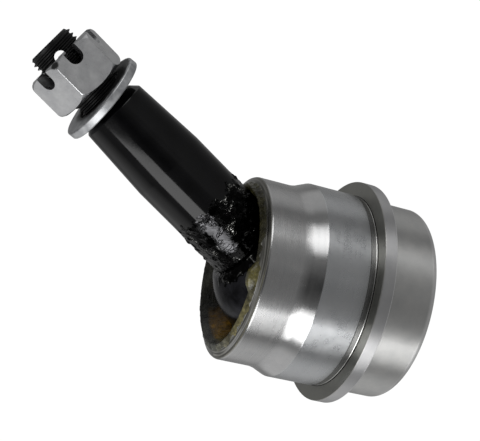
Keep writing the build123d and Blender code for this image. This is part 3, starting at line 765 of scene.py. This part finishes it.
# Black grease: a smear at the outer end of one face in three spots, and one on a corner of the chamfer, each
# with its centre and its radius
smeared = noise_node(tree, place, scale=700.0, detail=3.0)
GREASE_SPOTS = [
    ((59.9, -6.6, 90.8), 1.1),
    ((59.3, -6.0, 89.3), 1.0),
    ((58.7, -5.5, 87.8), 0.8),
    ((46.2, -11.9, 98.9), 1.5),
]
for spot, size in GREASE_SPOTS:
    centre = tuple(part * MM for part in spot)
    away = node(tree, "ShaderNodeVectorMath", {0: place, 1: centre}, operation="DISTANCE").outputs["Value"]
    away = maths(tree, "MULTIPLY_ADD", smeared, 0.9 * MM, away)
    dirt = fade(tree, away, (size + 0.6) * MM, (size + 0.1) * MM)
    colour = mix(tree, dirt, colour, (0.06, 0.06, 0.06, 1))
tree.links.new(colour, shader.inputs["Base Color"])
bumps(tree, shader, maths(tree, "MULTIPLY_ADD", cloud, 2.0, grain), strength=0.30, depth=0.00006)
mesh = bmesh.new()
bmesh.ops.create_cone(mesh, cap_ends=True, segments=6, radius1=CORNER, radius2=CORNER, depth=NUT_HEIGHT,
                      matrix=Matrix.Translation((0, 0, NUT_HEIGHT / 2))
                      @ Matrix.Rotation(math.radians(NUT_TURN), 4, "Z"))
corners = [edge for edge in mesh.edges if abs(edge.verts[0].co.z - edge.verts[1].co.z) > 1]
bmesh.ops.bevel(mesh, geom=corners, offset=0.15, offset_type="OFFSET", segments=3, profile=0.5,
                affect="EDGES", material=-1)
# A turned blank gives the hexagon its bore and the chamfers at both ends, at 30 degrees
blank = bmesh.new()
drop = (CORNER - END_FACE) * math.tan(math.radians(30))
outline_edges(blank, [
    (NUT_BORE + BORE_CHAMFER, 0, 0),
    (END_FACE, 0, 0.25),
    (CORNER + 0.01, drop, 1.44),
    (CORNER + 0.01, NUT_HEIGHT - drop, 1.44),
    (END_FACE, NUT_HEIGHT, 0.25),
    (NUT_BORE + BORE_CHAMFER, NUT_HEIGHT, 0),
    (NUT_BORE, NUT_HEIGHT - BORE_CHAMFER, 0),
    (NUT_BORE, BORE_CHAMFER, 0),
])
turn(blank, steps=144)
mesh = cut_by(mesh, blank, "INTERSECT")
# Each slot's cutter stands half above the nut, and its lower edges are rounded
slots = bmesh.new()
for index in range(6):
    made = bmesh.ops.create_cube(slots, size=1)["verts"]
    bmesh.ops.scale(slots, vec=(10, SLOT_WIDTH, 2 * SLOT_DEPTH), verts=made)
    lower = [edge for vertex in made for edge in vertex.link_edges
             if all(end.co.z < 0 for end in edge.verts) and abs(edge.verts[0].co.x - edge.verts[1].co.x) > 1]
    rounded = bmesh.ops.bevel(slots, geom=list(dict.fromkeys(lower)), offset=2.4, offset_type="OFFSET",
                              segments=10, profile=0.5, affect="EDGES", material=-1)
    cutter = [vertex for vertex in (*made, *rounded["verts"]) if vertex.is_valid]
    bmesh.ops.transform(slots, matrix=Matrix.Rotation(math.radians(NUT_TURN + 60 * index), 4, "Z")
                        @ Matrix.Translation((11.5, 0, NUT_HEIGHT)), verts=list(dict.fromkeys(cutter)))
mesh = cut_by(mesh, slots, "DIFFERENCE")
finished_piece("slotted_nut_body", mesh, stud_place @ Matrix.Translation((0, 0, NUT_FOOT * MM)), "nut",
               nut_zinc, ["slotted_nut"], sharp_from=32)

# Cover plate and grease fitting. The dished plate is pressed steel, held by the rolled lip, and the nipple is
# screwed into its middle. Both are zinc plated.
plate_zinc, tree, shader = new_finish("plate_zinc", (0.52, 0.52, 0.50), metallic=1.0, roughness=0.35)
place, height, radius, angle = around_axis(tree)
cloud = noise_node(tree, place, scale=300.0, detail=6.0)
rings = lathe_marks(tree, height, radius, angle, fineness=1600, length=1.5)
tree.links.new(maths(tree, "MULTIPLY_ADD", cloud, 0.35, 0.2), shader.inputs["Roughness"])
tree.links.new(ramp(tree, cloud, [(0.3, (0.46, 0.46, 0.44)), (0.7, (0.60, 0.60, 0.59))]),
               shader.inputs["Base Color"])
bumps(tree, shader, rings, strength=0.25, depth=0.00006)
dress(plate_zinc, "cover_plate", "grease_fitting")

# Cover seal. A moulded rubber ring in the plate's rim, which is squeezed between plate and base and keeps the
# grease in.
seal_rubber, tree, shader = new_finish("seal_rubber", (0.018, 0.018, 0.018), metallic=0.0, roughness=0.55)
grain = noise_node(tree, own_place(tree), scale=2200.0, detail=4.0)
tree.links.new(maths(tree, "MULTIPLY_ADD", grain, 0.3, 0.4), shader.inputs["Roughness"])
dress(seal_rubber, "cover_seal")

# Check ball. A small polished steel ball inside the nipple. Its spring presses it against the mouth, and
# grease pressed in from outside lifts it.
ball_chrome, tree, shader = new_finish("ball_chrome", (0.62, 0.62, 0.63), metallic=1.0, roughness=0.08)
haze = noise_node(tree, own_place(tree), scale=1800.0, detail=3.0)
tree.links.new(maths(tree, "MULTIPLY_ADD", haze, 0.12, 0.02), shader.inputs["Roughness"])
dress(ball_chrome, "fitting_check_ball")

# Studio. The joint stands on its base on a pale floor. Two softboxes, a low one and a high one, light it from
# the side of the camera, and the dim room round them is what the dark parts of the steel show.
camera_data = bpy.data.cameras.new("camera")
camera_data.lens = 81.9
camera_data.sensor_width = 36
camera_data.clip_start = 0.01
camera = bpy.data.objects.new("camera", camera_data)
right = Vector((0.21841, -0.31039, -0.92518))
up = Vector((0.97361, 0.005, 0.22817))
ahead = Vector((0.06619, 0.95059, -0.30329))
camera.matrix_world = Matrix.Translation(Vector((-8.399, -339.098, 135.781)) * MM) @ Matrix(
    (right, up, -ahead)).transposed().to_4x4()
bpy.context.scene.collection.objects.link(camera)
bpy.context.scene.camera = camera


def way_to(sideways, upwards):
    """The direction at angles in degrees to the right of and above the way back to the camera."""
    sideways, upwards = math.radians(sideways), math.radians(upwards)
    level_way = math.sin(sideways) * right - math.cos(sideways) * ahead
    return math.cos(upwards) * level_way + math.sin(upwards) * up


def softbox(name, sideways, upwards, width, tall, roll, level):
    """An area light a metre off in a direction, as wide and tall as it is seen from the joint in degrees."""
    way = way_to(sideways, upwards)
    flat = way_to(sideways + 90, 0).normalized()
    data = bpy.data.lights.new(name, "AREA")
    data.shape = "RECTANGLE"
    data.size = 2 * math.tan(math.radians(width / 2))
    data.size_y = 2 * math.tan(math.radians(tall / 2))
    data.energy = level * math.pi * data.size * data.size_y
    lamp = bpy.data.objects.new(name, data)
    lamp.matrix_world = (Matrix.Translation(way + Vector((0.015, 0, 0.02)))
                         @ Matrix((flat, way.cross(flat), way)).transposed().to_4x4()
                         @ Matrix.Rotation(math.radians(roll), 4, "Z"))
    lamp.visible_camera = False
    bpy.context.scene.collection.objects.link(lamp)


softbox("low_softbox", sideways=-9.6, upwards=-47.6, width=39.4, tall=33.5, roll=-51.7, level=3.9)
softbox("high_softbox", sideways=13.7, upwards=53.2, width=34.5, tall=27.8, roll=23.9, level=2.1)

floor_mesh = bmesh.new()
bmesh.ops.create_grid(floor_mesh, x_segments=1, y_segments=1, size=4,
                      matrix=Matrix.Translation((0, 0, BASE_END * MM)))
floor_data = bpy.data.meshes.new("floor")
floor_mesh.to_mesh(floor_data)
floor_mesh.free()
floor = bpy.data.objects.new("floor", floor_data)
bpy.context.scene.collection.objects.link(floor)
# Both softboxes reach below the floor, so it stops no light, and the steel shows the dim room in its place
floor.visible_glossy = False
floor.visible_shadow = False
pale = bpy.data.materials.new("pale_floor")
pale.use_nodes = True
tree = pale.node_tree
shader = tree.nodes["Principled BSDF"]
shader.inputs["Base Color"].default_value = (0.8, 0.8, 0.8, 1)
shader.inputs["Roughness"].default_value = 0.9
lit = node(tree, "ShaderNodeBsdfDiffuse", {"Color": (0.12, 0.12, 0.12, 1)})
glow = node(tree, "ShaderNodeEmission", {"Color": (1, 1, 1, 1), "Strength": 0.99})
seen = node(tree, "ShaderNodeAddShader", {0: lit.outputs[0], 1: glow.outputs[0]})
path = node(tree, "ShaderNodeLightPath")
either = node(tree, "ShaderNodeMixShader",
              {0: path.outputs["Is Camera Ray"], 1: shader.outputs[0], 2: seen.outputs[0]})
tree.links.new(either.outputs[0], tree.nodes["Material Output"].inputs["Surface"])
floor_data.materials.append(pale)

# The room is a grey that changes from behind the object to behind the camera
world = bpy.data.worlds.new("studio")
bpy.context.scene.world = world
world.use_nodes = True
world.cycles.sampling_method = "NONE"
tree = world.node_tree
way = node(tree, "ShaderNodeTexCoord").outputs["Generated"]
facing = along_way(tree, way, -ahead)
room = ramp(tree, maths(tree, "MULTIPLY_ADD", facing, 0.5, 0.5), [
    (position, (grey, grey, grey)) for position, grey in (
        (0.0, 0.298), (0.2, 0.187), (0.5, 0.218), (0.85, 0.329), (0.97, 0.136), (1.0, 0.010))])
# Pale parts of the room, each with its direction, how wide it is in degrees and its level: low on the left, a
# narrow one at the front right, and one overhead at the back
PALE_PARTS = [
    (-133, -59.6, 37, 0.52),
    (34.2, 8.3, 8, 0.08),
    (160, 64.9, 26, 0.34),
]
for sideways, upwards, width, level in PALE_PARTS:
    near = along_way(tree, way, way_to(sideways, upwards))
    patch = fade(tree, near, math.cos(math.radians(width)), math.cos(math.radians(width * 0.6)), top=level)
    room = mix(tree, 1.0, room, patch, "ADD")
# Metal shows the white backdrop only straight behind the object
path = node(tree, "ShaderNodeLightPath")
mirrored = maths(tree, "MAXIMUM", path.outputs["Is Glossy Ray"], path.outputs["Is Transmission Ray"])
behind = fade(tree, facing, -0.985, -0.995)
shown = maths(tree, "MAXIMUM", path.outputs["Is Camera Ray"], maths(tree, "MULTIPLY", mirrored, behind))
background = tree.nodes["Background"]
tree.links.new(mix(tree, shown, room, (1, 1, 1, 1)), background.inputs["Color"])
background.inputs["Strength"].default_value = 1.0

bpy.context.scene.view_settings.view_transform = "Standard"
